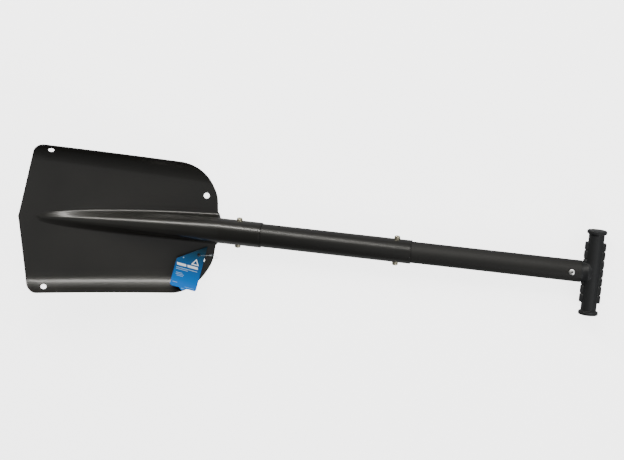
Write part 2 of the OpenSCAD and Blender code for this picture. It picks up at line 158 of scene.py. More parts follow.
# Worked out from the sizes
SOCKET_BORE_R = MIDDLE_R + 0.2
SOCKET_MID_R = SOCKET_BORE_R + SHEET_T / 2
UPPER_END_X = MIDDLE_OUT + UPPER_OUT
BAR_X = UPPER_END_X + NECK_L
UPPER_HOLE_X = MIDDLE_OUT - UPPER_BUTTON_X
BUTTON_HOLE_D = BUTTON_D + 2 * BUTTON_GAP
RIB_H = (SOCKET_MID_R + HEEL_DROP) / math.cos(LIFT)
CORNER_U = BLADE_L - POINT_L
WIDEST_U = CORNER_U - CORNER_R

tube_low, tube_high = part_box("middle_tube")
ORIGIN = Vector((tube_high.x - MIDDLE_OUT * MM, 0, (tube_low.z + tube_high.z) / 2))


def blend(a, b, t):
    return a + (b - a) * t


def limit(x, low, high):
    return max(low, min(high, x))


def ease(t):
    s = limit(t, 0, 1)
    return s * s * (3 - 2 * s)


def to_row(p):
    """A point of the shaft's frame, in millimetres, as a point of the row frame in metres."""
    return ORIGIN + Vector(p) * MM


def shaft_pt(u, y, w):
    """A point of the blade in the shaft's frame: u forward from the heel, w off the floor."""
    return Vector((
        -SOCKET_L - u * math.cos(LIFT) + w * math.sin(LIFT),
        y,
        -HEEL_DROP + u * math.sin(LIFT) + w * math.cos(LIFT),
    ))


# ---- Camera and lights ----

CAMERA_AT = Vector((0.3116, 0.3401, 2.0032))
CAMERA_TARGET = Vector((-0.0019, 0.0122, 0))
CAMERA_UP = Vector((-0.1095, 0.9835, -0.1438))
CAMERA_LENS = 86.19
SENSOR_W = 36


def aim(at, target, up):
    """The matrix of a camera or light at a point, looking at another, with up upwards."""
    back = (at - target).normalized()
    right = up.cross(back).normalized()
    turn = Matrix((right, back.cross(right), back)).transposed()
    return Matrix.Translation(at) @ turn.to_4x4()


def add_camera():
    data = bpy.data.cameras.new("camera")
    data.lens = CAMERA_LENS
    data.sensor_width = SENSOR_W
    camera = bpy.data.objects.new("camera", data)
    camera.matrix_world = aim(CAMERA_AT, CAMERA_TARGET, CAMERA_UP)
    bpy.context.scene.collection.objects.link(camera)
    bpy.context.scene.camera = camera


def add_light(name, at, target, size, power, colour=(1, 1, 1)):
    """A rectangular soft light; its size is (along X, across)."""
    data = bpy.data.lights.new(name, "AREA")
    data.shape = "RECTANGLE"
    data.size = size[0]
    data.size_y = size[1]
    data.energy = power
    data.color = colour
    light = bpy.data.objects.new(name, data)
    at = Vector(at)
    target = Vector(target)
    light.matrix_world = aim(at, target, Vector((0, 1, 0.1)))
    bpy.context.scene.collection.objects.link(light)


def add_world(seen, above, below):
    """A white backdrop behind the floor; in reflections it is dim above the floor, and
    brighter below, where it stands in for the paper under the object."""
    world = bpy.data.worlds.new("world")
    bpy.context.scene.world = world
    world.use_nodes = True
    tree = world.node_tree
    background = tree.nodes["Background"]
    background.inputs["Color"].default_value = (1, 1, 1, 1)
    coords = tree.nodes.new("ShaderNodeTexCoord")
    height = tree.nodes.new("ShaderNodeSeparateXYZ")
    tree.links.new(coords.outputs["Generated"], height.inputs[0])
    horizon = 0.05
    mirrored = tree.nodes.new("ShaderNodeMapRange")
    mirrored.inputs["From Min"].default_value = -horizon
    mirrored.inputs["From Max"].default_value = horizon
    mirrored.inputs["To Min"].default_value = below
    mirrored.inputs["To Max"].default_value = above
    tree.links.new(height.outputs["Z"], mirrored.inputs["Value"])
    path = tree.nodes.new("ShaderNodeLightPath")
    strength = tree.nodes.new("ShaderNodeMapRange")
    strength.inputs["To Max"].default_value = seen
    tree.links.new(path.outputs["Is Camera Ray"], strength.inputs["Value"])
    tree.links.new(mirrored.outputs["Result"], strength.inputs["To Min"])
    tree.links.new(strength.outputs["Result"], background.inputs["Strength"])


# ---- Mesh helpers ----

def add_object(name, data):
    obj = bpy.data.objects.new(name, data)
    bpy.context.scene.collection.objects.link(obj)
    return obj


def mesh_piece(name, points, faces):
    """A mesh object from points in the shaft's frame, in millimetres."""
    mesh = bpy.data.meshes.new(name)
    mesh.from_pydata([to_row(p) for p in points], [], faces)
    obj = add_object(name, mesh)
    tidy_mesh(obj)
    return obj


def tidy_mesh(obj):
    """Merges doubled points and turns every face outwards."""
    bm = bmesh.new()
    bm.from_mesh(obj.data)
    bmesh.ops.remove_doubles(bm, verts=bm.verts, dist=1e-6)
    bmesh.ops.dissolve_degenerate(bm, edges=bm.edges, dist=1e-7)
    bmesh.ops.recalc_face_normals(bm, faces=bm.faces)
    bm.to_mesh(obj.data)
    bm.free()


def apply_modifiers(obj):
    """Replaces a piece's mesh with what its modifiers make of it."""
    graph = bpy.context.evaluated_depsgraph_get()
    mesh = bpy.data.meshes.new_from_object(obj.evaluated_get(graph))
    obj.modifiers.clear()
    obj.data = mesh


def smooth_by_angle(obj, angle):
    """Smooth shading, with creases where faces meet at more than the angle."""
    obj.data.set_sharp_from_angle(angle=math.radians(angle))
    for polygon in obj.data.polygons:
        polygon.use_smooth = True


def bevel(obj, width, segments=2, angle=40):
    modifier = obj.modifiers.new("bevel", "BEVEL")
    modifier.width = width * MM
    modifier.segments = segments
    modifier.limit_method = "ANGLE"
    modifier.angle_limit = math.radians(angle)
    apply_modifiers(obj)


def cut(obj, cutters):
    """Takes the cutters' volumes out of a piece and deletes them."""
    for cutter in cutters:
        modifier = obj.modifiers.new("cut", "BOOLEAN")
        modifier.operation = "DIFFERENCE"
        modifier.solver = "EXACT"
        modifier.object = cutter
        apply_modifiers(obj)
        bpy.data.objects.remove(cutter)


def rounded(corners, closed=False, steps=5):
    """An outline through corners given as (x, y, radius), with each corner an arc."""
    outline = []
    count = len(corners)
    for i, (x, y, radius) in enumerate(corners):
        at_end = not closed and i in (0, count - 1)
        if at_end or radius == 0:
            outline.append((x, y))
            continue
        here = Vector((x, y))
        before = (Vector(corners[i - 1][:2]) - here).normalized()
        after = (Vector(corners[(i + 1) % count][:2]) - here).normalized()
        half = before.angle(after) / 2
        centre = here + (before + after).normalized() * radius / math.sin(half)
        start = here + before * radius / math.tan(half) - centre
        end = here + after * radius / math.tan(half) - centre
        sweep = start.angle_signed(end)
        for k in range(steps + 1):
            turned = Matrix.Rotation(-sweep * k / steps, 2) @ start
            outline.append(tuple(centre + turned))
    return outline


def along_x(a, b, c):
    return (a, b, c)


def lathe(name, profile, place=along_x, sides=96, closed=False):
    """Turns a profile of (along, radius) round an axis; place gives the axis its direction."""
    points = []
    for along, radius in profile:
        for i in range(sides):
            turn = 2 * math.pi * i / sides
            points.append(place(along, radius * math.cos(turn), radius * math.sin(turn)))
    rings = len(profile)
    faces = []
    for j in range(rings if closed else rings - 1):
        k = (j + 1) % rings
        for i in range(sides):
            n = (i + 1) % sides
            faces.append((j * sides + i, j * sides + n, k * sides + n, k * sides + i))
    return mesh_piece(name, points, faces)


def drill(x, y, z, axis, diameter, length=12):
    """A cylinder to cut a hole with, centred at a point of the shaft's frame."""
    sides = 48
    axis = Vector(axis).normalized()
    across = axis.orthogonal().normalized()
    other = axis.cross(across)
    radius = diameter / 2
    points = []
    for end in (-length / 2, length / 2):
        for i in range(sides):
            turn = 2 * math.pi * i / sides
            ring = across * math.cos(turn) + other * math.sin(turn)
            points.append(Vector((x, y, z)) + axis * end + ring * radius)
    faces = [tuple(range(sides)), tuple(range(2 * sides - 1, sides - 1, -1))]
    for i in range(sides):
        n = (i + 1) % sides
        faces.append((i, n, sides + n, sides + i))
    return mesh_piece("drill", points, faces)


# ---- The pressed blade ----

# Columns of the sheet from its centre line to one edge, and rows along it
TOP_N = 24
FLANK_N = 9
FILLET_N = 15
RIB_N = TOP_N + FLANK_N + FILLET_N
FLOOR_N = 14
WALL_N = 28
COLS = RIB_N + FLOOR_N + WALL_N
ROWS = 96
SOCKET_ROWS = 30
SOCKET_S = [SOCKET_L * (i / SOCKET_ROWS) ** 1.4 for i in range(1, SOCKET_ROWS + 1)]


def half_w(u):
    return blend(HEEL_W, BLADE_W, limit(u / WIDEST_U, 0, 1)) / 2


def curl_r(u):
    return blend(CURL_R_HEEL, CURL_R_FRONT, limit(u / CORNER_U, 0, 1))


def curl_w(u):
    return curl_r(u) * (math.sin(WALL_ANGLE) - math.sin(FLOOR_SLOPE))


def fold_y(u):
    return half_w(u) - curl_w(u) - WALL_STRIP


def curl_h(r, x):
    return r * math.cos(FLOOR_SLOPE) - math.sqrt(r * r - (x + r * math.sin(FLOOR_SLOPE)) ** 2)


def dish_h(u):
    return -4 * DISH * u / BLADE_L * (1 - u / BLADE_L)


def dish_slope(u):
    return math.atan(4 * DISH / BLADE_L * (2 * u / BLADE_L - 1))


def floor_h(u, y):
    return dish_h(u) + math.tan(FLOOR_SLOPE) * y * y / (2 * fold_y(u))


def sheet_h(u, y):
    """Height of the middle of the sheet above the floor plane, without the rib."""
    fold = fold_y(u)
    x = y - fold
    w = curl_w(u)
    r = curl_r(u)
    if x <= 0:
        return floor_h(u, y)
    if x <= w:
        return floor_h(u, fold) + curl_h(r, x)
    return floor_h(u, fold) + curl_h(r, w) + (x - w) * math.tan(WALL_ANGLE)


def sheet_slope(u, y):
    fold = fold_y(u)
    x = y - fold
    if x <= 0:
        return math.atan(math.tan(FLOOR_SLOPE) * y / fold)
    if x <= curl_w(u):
        return math.asin(x / curl_r(u) + math.sin(FLOOR_SLOPE))
    return WALL_ANGLE


def rib_section(k, u):
    """Point k of the rib's half section at u, as (y, w): crest arc, flank, fillet."""
    t = limit(u / RIB_L, 0, RIB_CUT)
    fade = 1 if u < RIB_CUT * RIB_L else 0
    h = RIB_H * (1 - t)
    angle = RIB_ANGLE * (1 - t) ** RIB_POWER
    crest = blend(SOCKET_MID_R, RIB_TIP_R, t)
    rise = (crest + RIB_FILLET) * (1 - math.cos(angle))
    fit = min(1, h / rise)
    r = crest * fit
    f = RIB_FILLET * fit
    fall = max(0, h - rise)
    run = fall / math.tan(angle)
    if k <= TOP_N:
        a = angle * k / TOP_N
        return (r * math.sin(a), fade * (h - r * (1 - math.cos(a))))
    if k <= TOP_N + FLANK_N:
        at = (k - TOP_N) / FLANK_N
        return (r * math.sin(angle) + run * at, fade * (h - r * (1 - math.cos(angle)) - fall * at))
    a = angle * (RIB_N - k) / FILLET_N
    y = r * math.sin(angle) + run + f * (math.sin(angle) - math.sin(a))
    return (y, fade * f * (1 - math.cos(a)))


def column_y(k, u):
    if k <= RIB_N:
        return rib_section(k, u)[0]
    if k <= RIB_N + FLOOR_N:
        return blend(rib_section(RIB_N, u)[0], fold_y(u), (k - RIB_N) / FLOOR_N)
    reach = math.sin(math.pi / 2 * (k - RIB_N - FLOOR_N) / WALL_N)
    return half_w(u) - (half_w(u) - fold_y(u)) * (1 - reach)


NECK_Y = rib_section(RIB_N, 0)[0]
SHOULDER_U = SHOULDER_R + (HEEL_W / 2 - NECK_Y) * math.tan(REAR_SWEEP)
SHOULDER_Y = half_w(SHOULDER_U)


def round_off(r, x):
    return 0 if x <= 0 else r - math.sqrt(max(0, r * r - x * x))


def rear_u(k):
    if k <= RIB_N:
        return 0
    y = column_y(k, SHOULDER_U)
    return (y - NECK_Y) * math.tan(REAR_SWEEP) + round_off(SHOULDER_R, y - SHOULDER_Y + SHOULDER_R)


def front_u(k):
    y = column_y(k, WIDEST_U)
    half = BLADE_W / 2
    return BLADE_L - POINT_L * y / half - round_off(CORNER_R, y - half + CORNER_R)


def blade_pt(c, j):
    """Middle of the sheet at column c and row j of the blade."""
    k = abs(c)
    u = blend(rear_u(k), front_u(k), j / ROWS)
    y = column_y(k, u)
    rib = rib_section(k, u)[1] if k <= RIB_N else 0
    return shaft_pt(u, math.copysign(y, c), sheet_h(u, y) + rib)


def socket_pt(c, s):
    """Middle of the sheet at column c of the socket, s behind the heel."""
    p = blade_pt(c, 0)
    r = blend(math.hypot(p.y, p.z), SOCKET_MID_R, ease(s / FLARE_L))
    a = blend(math.atan2(p.y, p.z), SEAM_ANGLE * c / RIB_N, ease(s / WRAP_L))
    return Vector((blend(p.x, 0, s / SOCKET_L), r * math.sin(a), r * math.cos(a)))


def sheet_grid():
    """Columns of middle points by column number; a column's rows start at its first row."""
    grid = {}
    for c in range(-COLS, COLS + 1):
        socket = [socket_pt(c, s) for s in reversed(SOCKET_S)] if abs(c) <= RIB_N else []
        grid[c] = socket + [blade_pt(c, j) for j in range(ROWS + 1)]
    return grid


def first_row(c):
    return -SOCKET_ROWS if abs(c) <= RIB_N else 0


def make_blade():
    grid = sheet_grid()

    def at(c, j):
        return grid[c][j - first_row(c)]

    def normal(c, j):
        span = COLS if j >= 0 else RIB_N
        across = at(min(c + 1, span), j) - at(max(c - 1, -span), j)
        ahead = at(c, min(j + 1, ROWS)) - at(c, max(j - 1, first_row(c)))
        return across.cross(ahead).normalized()

    points = []
    number = {}
    for side in (1, -1):
        for c in range(-COLS, COLS + 1):
            for j in range(first_row(c), ROWS + 1):
                number[side, c, j] = len(points)
                points.append(at(c, j) + normal(c, j) * side * SHEET_T / 2)

    faces = []
    for j in range(-SOCKET_ROWS, ROWS):
        span = COLS if j >= 0 else RIB_N
        for c in range(-span, span):
            ring = [(c, j), (c + 1, j), (c + 1, j + 1), (c, j + 1)]
            faces.append([number[1, a, b] for a, b in ring])
            faces.append([number[-1, a, b] for a, b in reversed(ring)])

    rear = [(c, 0) for c in range(RIB_N, COLS + 1)]
    front = [(c, ROWS) for c in range(COLS, -COLS - 1, -1)]
    mouth = [(c, -SOCKET_ROWS) for c in range(-RIB_N, RIB_N + 1)]
    right_edge = [(COLS, j) for j in range(ROWS + 1)]
    left_edge = [(-COLS, j) for j in range(ROWS, -1, -1)]
    right_seam = [(RIB_N, j) for j in range(-SOCKET_ROWS, 1)]
    left_seam = [(-RIB_N, j) for j in range(0, -SOCKET_ROWS - 1, -1)]
    left_rear = [(c, 0) for c in range(-COLS, -RIB_N + 1)]
    for line in (rear, right_edge, front, left_edge, left_rear, left_seam, mouth, right_seam):
        for a, b in zip(line, line[1:]):
            faces.append([number[1, *a], number[1, *b], number[-1, *b], number[-1, *a]])

    blade = mesh_piece("blade_sheet", points, faces)
    cutters = []
    front_u_at = CORNER_U - FRONT_HOLE_U
    front_y_at = half_w(front_u_at) - FRONT_HOLE_Y
    for side in (1, -1):
        for u, y in ((front_u_at, front_y_at), (REAR_HOLE_U, REAR_HOLE_Y)):
            place = shaft_pt(u, side * y, sheet_h(u, y))
            slope = sheet_slope(u, y)
            dip = dish_slope(u)
            axis = shaft_pt(0, -side * math.sin(slope), math.cos(slope)) - shaft_pt(0, 0, 0)
            axis = Matrix.Rotation(dip, 3, "Y") @ axis
            cutters.append(drill(*place, axis, HOLE_D))
    cutters.append(drill(-LOWER_BUTTON_X, 0, 0, (0, 1, 0), BUTTON_HOLE_D, THROUGH))
    cut(blade, cutters)
    bevel(blade, 0.3, segments=3, angle=50)
    smooth_by_angle(blade, 45)
    return blade


# ---- Tubes, buttons and springs ----

def tube(name, start, end, bore_r, outer_r, cutters):
    edge = 0.3
    profile = rounded(
        [(start, bore_r, edge), (start, outer_r, edge), (end, outer_r, edge), (end, bore_r, edge)],
        closed=True, steps=4,
    )
    piece = lathe(name, profile, sides=144, closed=True)
    cut(piece, cutters)
    smooth_by_angle(piece, 30)
    return piece


def make_middle_tube():
    holes = [
        drill(x, 0, 0, (0, 1, 0), BUTTON_HOLE_D, THROUGH)
        for x in (-LOWER_BUTTON_X, STOW_HOLE_X, UPPER_HOLE_X)
    ]
    return tube("middle_tube_shell", -MIDDLE_SEAT, MIDDLE_OUT, MIDDLE_BORE_R, MIDDLE_R, holes)


def make_upper_tube():
    holes = [
        drill(UPPER_HOLE_X, 0, 0, (0, 1, 0), BUTTON_HOLE_D, THROUGH),
        drill(UPPER_END_X - RIVET_X, 0, 0, (0, 0, 1), RIVET_D, THROUGH),
    ]
    start = MIDDLE_OUT - UPPER_LAP
    return tube("upper_tube_shell", start, UPPER_END_X, UPPER_BORE_R, UPPER_R, holes)


def leaf_y(bore_r):
    """How far from the axis a leaf's outer face lies in a bore."""
    return math.sqrt(bore_r * bore_r - LEAF_W * LEAF_W / 4) - LEAF_PLAY


def make_button(name, x, side, bore_r, tip):
    """A domed button with a step at its foot and the stem that holds it on the leaf."""
    play = 0.05
    y = leaf_y(bore_r) + play
    radius = BUTTON_D / 2
    inner = y - LEAF_T - 2 * play
    head = 0.8
    head_r = STEM_D * 0.75
    dome = 2.2
    outline = rounded([
        (inner - head, 0, 0), (inner - head, head_r, 0.2), (inner, head_r, 0.1),
        (inner, STEM_D / 2, 0), (y, STEM_D / 2, 0), (y, radius, 0.3), (tip - dome, radius, 0),
    ], steps=4)
    turns = 12
    for i in range(1, turns + 1):
        a = math.pi / 2 * i / turns
        outline.append((tip - dome + dome * math.sin(a), radius * math.cos(a) ** 0.8))
    piece = lathe(name, outline, lambda a, b, c: (x + b, side * a, c), sides=64)
    smooth_by_angle(piece, 40)
    return piece


def make_spring(name, x, bore_r, way, side):
    """One side of a leaf spring bent to a U: an arm with a hole for a button's stem, and its
    half of the bend. Gives the piece, and the x of the bend's middle."""
    y = leaf_y(bore_r) - LEAF_T / 2
    arm = 6
    back = 5
    line = [Vector((arm - i, y)) for i in range(arm + back)]
    turns = 16
    for i in range(turns + 1):
        a = math.pi / 2 * i / turns
        line.append(Vector((-back - y * math.sin(a), y * math.cos(a))))
    points = []
    for i, p in enumerate(line):
        ahead = (line[min(i + 1, len(line) - 1)] - line[max(i - 1, 0)]).normalized()
        out = Vector((-ahead.y, ahead.x)) * LEAF_T / 2
        for q in (p + out, p - out):
            for z in (-LEAF_W / 2, LEAF_W / 2):
                points.append((x + way * q.x, side * q.y, z))
    faces = [(0, 1, 3, 2)]
    last = 4 * (len(line) - 1)
    faces.append((last, last + 2, last + 3, last + 1))
    for i in range(0, last, 4):
        for a, b in ((0, 1), (1, 3), (3, 2), (2, 0)):
            faces.append((i + a, i + b, i + 4 + b, i + 4 + a))
    piece = mesh_piece(name, points, faces)
    cut(piece, [drill(x, side * y, 0, (0, 1, 0), STEM_D + 2 * BUTTON_GAP)])
    bevel(piece, 0.12, angle=50)
    smooth_by_angle(piece, 30)
    return piece, x - way * (back + y)


# ---- T-handle ----

def slab(name, x1, x2, y1, y2, z1, z2, width):
    """A block with rounded edges."""
    points = [(x, y, z) for x in (x1, x2) for y in (y1, y2) for z in (z1, z2)]
    faces = [(0, 1, 3, 2), (4, 6, 7, 5), (0, 4, 5, 1), (2, 3, 7, 6), (0, 2, 6, 4), (1, 5, 7, 3)]
    piece = mesh_piece(name, points, faces)
    bevel(piece, width, segments=3)
    return piece


def make_handle():
    """Grip bar with end flanges and wavy fins, neck and spigot, merged into one moulding."""
    half = BAR_L / 2
    core = lathe("handle_grip", rounded([
        (-half, 0, 0), (-half, FLANGE_D / 2, 1.4), (-half + FLANGE_T, FLANGE_D / 2, 1.2),
        (-half + FLANGE_T, BAR_D / 2, 0.8), (half - FLANGE_T, BAR_D / 2, 0.8),
        (half - FLANGE_T, FLANGE_D / 2, 1.2), (half, FLANGE_D / 2, 1.4), (half, 0, 0),
    ]), lambda a, b, c: (BAR_X + b, a, c))
    parts = [core]
    pitch = FIN_L / FIN_WAVES
    lobe = pitch * 0.44
    lobe_z = FIN_T / 2
    web_y = FIN_L / 2 - 1
    web_z = FIN_T / 2 - 1.1
    for side in (-1, 1):
        for i in range(FIN_WAVES):
            y = (i + 0.5) * pitch - FIN_L / 2
            x_out = BAR_X + side * FIN_W / 2
            reach = sorted((BAR_X, x_out))
            parts.append(slab("lobe", *reach, y - lobe, y + lobe, -lobe_z, lobe_z, 1.5))
        x_in = BAR_X + side * (FIN_W / 2 - FIN_WAVE_H)
        reach = sorted((BAR_X, x_in))
        parts.append(slab("web", *reach, -web_y, web_y, -web_z, web_z, 0.8))
    neck = [
        (UPPER_END_X, 0), (UPPER_END_X, NECK_D / 2 - 0.4), (UPPER_END_X + 0.4, NECK_D / 2),
        (UPPER_END_X + 3, NECK_D / 2), (UPPER_END_X + 6, NECK_D / 2 + 0.4),
        (UPPER_END_X + 9, NECK_D / 2 + 1.6), (BAR_X - 2, NECK_D / 2 - 1), (BAR_X, 0),
    ]
    parts.append(lathe("neck", neck))
    spigot_r = UPPER_BORE_R - 0.05
    spigot_x = UPPER_END_X - SPIGOT_L
    lead = 0.6
    parts.append(lathe("spigot", [
        (spigot_x, 0), (spigot_x, spigot_r - lead), (spigot_x + lead, spigot_r),
        (UPPER_END_X + 1, spigot_r), (UPPER_END_X + 1, 0),
    ]))
    bm = bmesh.new()
    for part in parts:
        bm.from_mesh(part.data)
    handle = add_object("grip", bpy.data.meshes.new("grip"))
    bm.to_mesh(handle.data)
    bm.free()
    for part in parts:
        bpy.data.objects.remove(part)
    remesh = handle.modifiers.new("remesh", "REMESH")
    remesh.mode = "VOXEL"
    remesh.voxel_size = 0.5 * MM
    smooth = handle.modifiers.new("smooth", "SMOOTH")
    smooth.factor = 0.5
    smooth.iterations = 6
    apply_modifiers(handle)
    smooth_by_angle(handle, 60)
    return handle


def make_rivet(name, side):
    """A blind rivet: domed head, with the rim of the hole that its mandrel was pulled through."""
    top = UPPER_R + RIVET_HEAD_H
    edge = RIVET_HEAD_D / 2
    hole = MANDREL_D / 2
    profile = rounded([
        (UPPER_R - RIVET_L, hole, 0), (UPPER_R - RIVET_L, RIVET_D / 2, 0.2),
        (UPPER_R, RIVET_D / 2, 0), (UPPER_R, edge, 0.15), (UPPER_R + 0.5, edge, 0.3),
        (UPPER_R + 0.95, edge * 0.8, 1), (top, edge * 0.45, 0.8), (top, hole + 0.25, 0.15),
        (top - 0.35, hole, 0.1),
    ], closed=True, steps=4)
    x = UPPER_END_X - RIVET_X
    piece = lathe(name, profile, lambda a, b, c: (x + b, c, side * a), sides=64, closed=True)
    smooth_by_angle(piece, 35)
    return piece


# ---- Tag ----

def on_curve(p, q, r, s, t):
    """A point of the smooth curve through four points, between the middle two."""
    return 0.5 * (2 * q + (r - p) * t + (2 * p - 5 * q + 4 * r - s) * t ** 2
                  + (3 * q - p - 3 * r + s) * t ** 3)


def loop_path(steps):
    route = [shaft_pt(*p) for p in LOOP_ROUTE]
    padded = [route[0]] + route + [route[-1]]
    path = []
    for i in range(len(route) - 1):
        for k in range(steps):
            path.append(on_curve(*padded[i:i + 4], k / steps))
    return path + [route[-1]]


def make_loop():
    path = [to_row(p) for p in loop_path(8)]
    data = bpy.data.curves.new("nylon_loop", "CURVE")
    data.dimensions = "3D"
    spline = data.splines.new("POLY")
    spline.points.add(len(path) - 1)
    for point, p in zip(spline.points, path):
        point.co = (*p, 1)
    data.bevel_depth = LOOP_D / 2 * MM
    data.bevel_resolution = 4
    data.use_fill_caps = True
    length = sum((b - a).length for a, b in zip(path, path[1:]))
    return add_object("nylon_loop", data), path, length


def make_lock():
    """The barrel lock of the loop: two collars and a waist."""
    u1, u2 = LOCK_U
    r = LOCK_D / 2
    outline = rounded([
        (u1, 0, 0), (u1, r * 0.9, 0.3), (u1 + 2, r, 0.3), (u1 + 2.6, r * 0.78, 0.3),
        (u2 - 2.6, r * 0.78, 0.3), (u2 - 2, r, 0.3), (u2, r * 0.9, 0.3), (u2, 0, 0),
    ])
    y, w = LOOP_ROUTE[0][1:]
    piece = lathe("loop_lock", outline, lambda a, b, c: shaft_pt(a, y + b, w + c), sides=32)
    smooth_by_angle(piece, 40)
    return piece


def tag_pt(x, y, z):
    """A point of the card, from its long corner, in the shaft's frame."""
    turn = Matrix.Rotation(TAG_HEADING, 3, "Z") @ Matrix.Rotation(-TAG_TILT, 3, "Y")
    p = turn @ Vector((x, y, z))
    return shaft_pt(TAG_CORNER[0] - p.x, TAG_CORNER[1] + p.y, TAG_CORNER[2] + p.z)


def tag_outline():
    """The card's outline: slanted top, a cut corner and a round tab at its far end."""
    tab_x = TAG_L - 2
    reach = math.sqrt(TAG_TAB_R ** 2 - (TAG_L - tab_x) ** 2)
    outline = rounded([
        (0, 0, 0.8), (TAG_L, 0, TAG_ROUND), (TAG_L, -TAG_W / 2 + reach, 0),
    ])
    turns = 16
    start = math.asin(reach / TAG_TAB_R)
    for i in range(1, turns):
        a = start * (1 - 2 * i / turns)
        outline.append((tab_x + TAG_TAB_R * math.cos(a), -TAG_W / 2 + TAG_TAB_R * math.sin(a)))
    lower = rounded([
        (TAG_L, -TAG_W / 2 - reach, 0), (TAG_L, TAG_CHAMFER[1] - TAG_W, TAG_ROUND),
        (TAG_L - TAG_CHAMFER[0], -TAG_W, TAG_ROUND), (TAG_SLANT, -TAG_W, TAG_ROUND), (0, 0, 0),
    ])
    return outline + lower[:-1]


def make_card():
    """The printed card: a fine mesh, bowed a little, with a UV map of card millimetres."""
    bow = 0.5
    cell = 2
    bm = bmesh.new()
    bm.faces.new([bm.verts.new((x, y, 0)) for x, y in tag_outline()])
    for axis, reach in (((1, 0, 0), TAG_L + cell), ((0, 1, 0), -TAG_W)):
        for i in range(1, math.ceil(abs(reach) / cell)):
            at = Vector(axis) * math.copysign(cell * i, reach)
            geometry = [*bm.verts, *bm.edges, *bm.faces]
            bmesh.ops.bisect_plane(bm, geom=geometry, plane_co=at, plane_no=axis)
    uv = bm.loops.layers.uv.new("UVMap")
    for face in bm.faces:
        for loop in face.loops:
            loop[uv].uv = (loop.vert.co.x / TAG_L, -loop.vert.co.y / TAG_W)
    for vert in bm.verts:
        x, y = vert.co.x, vert.co.y
        lift = bow * (1 - (2 * x / TAG_L - 1) ** 2)
        vert.co = to_row(tag_pt(x, y, TAG_T / 2 + lift))
    card = add_object("tag_card", bpy.data.meshes.new("tag_card"))
    bm.to_mesh(card.data)
    bm.free()
    solid = card.modifiers.new("solid", "SOLIDIFY")
    solid.thickness = TAG_T * MM
    solid.offset = 0
    apply_modifiers(card)
    x, y = TAG_HOLE_AT
    axis = tag_pt(x, y, 1) - tag_pt(x, y, 0)
    cut(card, [drill(*tag_pt(x, y, 0), axis, TAG_HOLE_D, 6)])
    bevel(card, 0.1, angle=60)
    smooth_by_angle(card, 30)
    return card


# ---- Materials ----

class Shader:
    """A material made of nodes, written as calls."""

    def __init__(self, name, **inputs):
        self.material = bpy.data.materials.new(name)
        self.material.use_nodes = True
        self.tree = self.material.node_tree
        self.bsdf = self.tree.nodes["Principled BSDF"]
        for key, value in inputs.items():
            socket = self.bsdf.inputs[key.replace("_", " ")]
            socket.default_value = (*value, 1) if isinstance(value, tuple) else value
        coords = self.tree.nodes.new("ShaderNodeTexCoord")
        self.place = coords.outputs["Object"]
        self.uv = coords.outputs["UV"]

    def put(self, socket, value):
        if isinstance(value, bpy.types.NodeSocket):
            self.tree.links.new(value, socket)
        elif isinstance(value, tuple) and len(value) == 3 and len(socket.default_value) == 4:
            socket.default_value = (*value, 1)
        else:
            socket.default_value = value

    def math(self, operation, a, b=0.0, clamp=False):
        node = self.tree.nodes.new("ShaderNodeMath")
        node.operation = operation
        node.use_clamp = clamp
        self.put(node.inputs[0], a)
        self.put(node.inputs[1], b)
        return node.outputs[0]

    def noise(self, scale, detail, stretch=(1, 1, 1)):
        """Noise from 0 to 1; scale is in features per metre, stretch lengthens them."""
        mapping = self.tree.nodes.new("ShaderNodeMapping")
        self.put(mapping.inputs["Vector"], self.place)
        mapping.inputs["Scale"].default_value = [1 / s for s in stretch]
        node = self.tree.nodes.new("ShaderNodeTexNoise")
        self.put(node.inputs["Vector"], mapping.outputs[0])
        node.inputs["Scale"].default_value = scale
        node.inputs["Detail"].default_value = detail
        return node.outputs["Fac"]

    def span(self, value, low, high, start=0.0, end=1.0):
        """Turns low to high into start to end, and holds it there."""
        node = self.tree.nodes.new("ShaderNodeMapRange")
        self.put(node.inputs["Value"], value)
        node.inputs["From Min"].default_value = low
        node.inputs["From Max"].default_value = high
        node.inputs["To Min"].default_value = start
        node.inputs["To Max"].default_value = end
        return node.outputs["Result"]

    def mix(self, factor, a, b):
        node = self.tree.nodes.new("ShaderNodeMix")
        node.data_type = "RGBA"
        self.put(node.inputs["Factor"], factor)
        self.put(node.inputs[6], a)
        self.put(node.inputs[7], b)
        return node.outputs[2]

    def bump(self, height, distance, strength, under=None):
        """Surface relief; distance is in metres."""
        node = self.tree.nodes.new("ShaderNodeBump")
        node.inputs["Strength"].default_value = strength
        node.inputs["Distance"].default_value = distance
        self.put(node.inputs["Height"], height)
        if under:
            self.put(node.inputs["Normal"], under)
        return node.outputs["Normal"]

    def set(self, **links):
        for key, socket in links.items():
            self.tree.links.new(socket, self.bsdf.inputs[key.replace("_", " ")])


def blade_coat():
    """Baked black enamel: a soft sheen over a fine orange peel, cloudy at a large scale."""
    s = Shader("blade_coat", IOR=1.5, Coat_Weight=0.4, Coat_Roughness=0.17)
    clouds = s.noise(9, 3)
    peel = s.noise(420, 2)
    dust = s.noise(2600, 2)
    cloudy = s.span(clouds, 0.3, 0.7)
    uneven = s.math("ADD", clouds, s.math("MULTIPLY", dust, 0.5))
    s.set(
        Base_Color=s.mix(cloudy, (0.0066, 0.0063, 0.0050), (0.0135, 0.0129, 0.0107)),
        Roughness=s.span(uneven, 0.4, 1.1, 0.30, 0.38),
        Normal=s.bump(peel, 0.00006, 0.25, s.bump(dust, 0.00001, 0.2)),
    )
    return s.material


